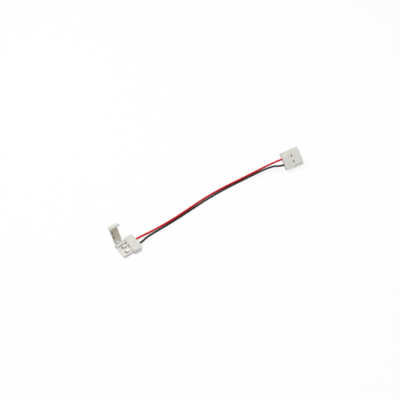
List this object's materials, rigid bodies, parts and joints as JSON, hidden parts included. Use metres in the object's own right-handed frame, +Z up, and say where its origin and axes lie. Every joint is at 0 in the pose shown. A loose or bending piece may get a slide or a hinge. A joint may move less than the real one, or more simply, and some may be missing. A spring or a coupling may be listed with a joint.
{
  "type": "led strip connector",
  "caption": "Solderless LED strip jumper: red and black insulated leads with a white hinged clip at each end, one lid standing open.",
  "frame": {"origin": "on the surface it lies on, under the middle of the box around the two clips", "axes": "+X from the open clip's strip mouth along its leads towards the closed clip, +Y towards the open clip's lid hinge, +Z up"},
  "size_m": [0.1778, 0.0346, 0.0189],
  "materials": {
    "white_plastic": "satin moulded, slightly warm white",
    "contact_metal": "stamped and bent sheet, bright",
    "solder": "smooth bead",
    "copper": "bare stranded copper",
    "red_insulation": "extruded, low gloss",
    "black_insulation": "extruded, low gloss"
  },
  "bodies": {
    "connector": {"left_base": "white_plastic", "left_rear_cover": "white_plastic", "left_red_contact": "contact_metal", "left_red_solder": "solder", "left_red_core": "copper", "left_black_contact": "contact_metal", "left_black_solder": "solder", "left_black_core": "copper", "right_base": "white_plastic", "right_rear_cover": "white_plastic", "right_red_contact": "contact_metal", "right_red_solder": "solder", "right_red_core": "copper", "right_black_contact": "contact_metal", "right_black_solder": "solder", "right_black_core": "copper", "red_lead": "red_insulation", "black_lead": "black_insulation"},
    "left_lid": {"left_lid": "white_plastic"},
    "right_lid": {"right_lid": "white_plastic"}
  },
  "joints": [
    {"name": "left_lid_hinge", "type": "hinge", "parent": "connector", "child": "left_lid", "pos_m": [-0.0889, 0.00991, 0.00375], "axis": [1, 0, 0], "range_deg": [0, 116]},
    {"name": "right_lid_hinge", "type": "hinge", "parent": "connector", "child": "right_lid", "pos_m": [0.08891, -0.00331, 0.0113], "axis": [-0.949, 0.2829, -0.1392], "range_deg": [-116, 0]}
  ]
}
